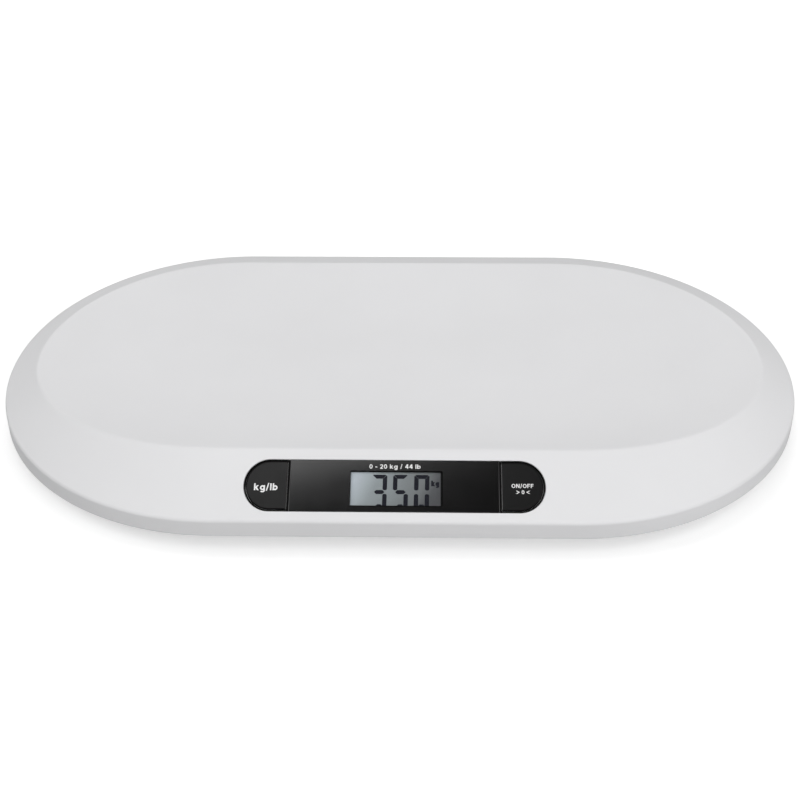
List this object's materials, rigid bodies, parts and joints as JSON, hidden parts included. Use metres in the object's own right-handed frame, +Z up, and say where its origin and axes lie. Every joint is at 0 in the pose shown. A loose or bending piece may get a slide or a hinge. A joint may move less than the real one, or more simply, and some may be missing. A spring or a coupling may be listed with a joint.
{
  "type": "baby weighing scale",
  "caption": "Low white stadium-shaped baby scale: shallow weighing dish with a sloping front band, black display panel with push buttons, load cell feet below.",
  "frame": {"origin": "on the ground, below the middle of the tray's outline", "axes": "+X along the tray to the right seen from the panel, +Y from the panel to the back, +Z up"},
  "size_m": [0.55, 0.32, 0.0503],
  "materials": {
    "tray": "satin moulded white",
    "base": "fine matt texture",
    "panel": "high gloss black",
    "button": "high gloss black",
    "lens": "clear",
    "lcd": "grey polariser",
    "holder": "plain moulded",
    "foot_rubber": "matt",
    "connector_rubber": "matt",
    "board": "solder mask",
    "chip": "matt moulded",
    "steel": "zinc plated",
    "contact": "nickel plated spring steel",
    "battery": "wrapped",
    "lead": "soft insulation"
  },
  "bodies": {
    "housing": {"tray_shell": "tray", "base_cover": "base", "foot_cup_front_left": "base", "foot_cup_front_right": "base", "foot_cup_rear_left": "base", "foot_cup_rear_right": "base", "display_bezel": "panel", "lcd_lens": "lens", "lcd_cell": "lcd", "lcd_holder": "holder", "foot_pad_front_left": "foot_rubber", "foot_pad_front_right": "foot_rubber", "foot_pad_rear_left": "foot_rubber", "foot_pad_rear_right": "foot_rubber", "zebra_strip": "connector_rubber", "display_board": "board", "controller_chip": "chip", "unit_switch": "chip", "power_switch": "chip", "load_cell_front_left": "steel", "load_cell_front_right": "steel", "load_cell_rear_left": "steel", "load_cell_rear_right": "steel", "board_screw_1": "steel", "board_screw_2": "steel", "board_screw_3": "steel", "board_screw_4": "steel", "base_screw_1": "steel", "base_screw_2": "steel", "base_screw_3": "steel", "base_screw_4": "steel", "base_screw_5": "steel", "base_screw_6": "steel", "base_screw_7": "steel", "base_screw_8": "steel", "battery_contact_left_front": "contact", "battery_contact_left_middle": "contact", "battery_contact_left_rear": "contact", "battery_contact_right_front": "contact", "battery_contact_right_rear": "contact", "battery_1": "battery", "battery_2": "battery", "battery_3": "battery", "battery_4": "battery", "load_cell_lead_front_left": "lead", "load_cell_lead_front_right": "lead", "load_cell_lead_rear_left": "lead", "load_cell_lead_rear_right": "lead", "battery_lead": "lead"},
    "unit_key": {"unit_button": "button", "unit_switch_stem": "holder"},
    "power_key": {"power_button": "button", "power_switch_stem": "holder"},
    "door": {"battery_door": "base"}
  },
  "joints": [
    {"name": "unit_press", "type": "slide", "parent": "housing", "child": "unit_key", "axis": [0, 0.4305, -0.9026], "range_m": [0, 0.0005], "stiffness_N_per_m": 3000, "springref_m": -0.0002},
    {"name": "power_press", "type": "slide", "parent": "housing", "child": "power_key", "axis": [0, 0.4305, -0.9026], "range_m": [0, 0.0005], "stiffness_N_per_m": 3000, "springref_m": -0.0002},
    {"name": "door_slide", "type": "slide", "parent": "housing", "child": "door", "axis": [1, 0, 0], "range_m": [0, 0.05]}
  ]
}
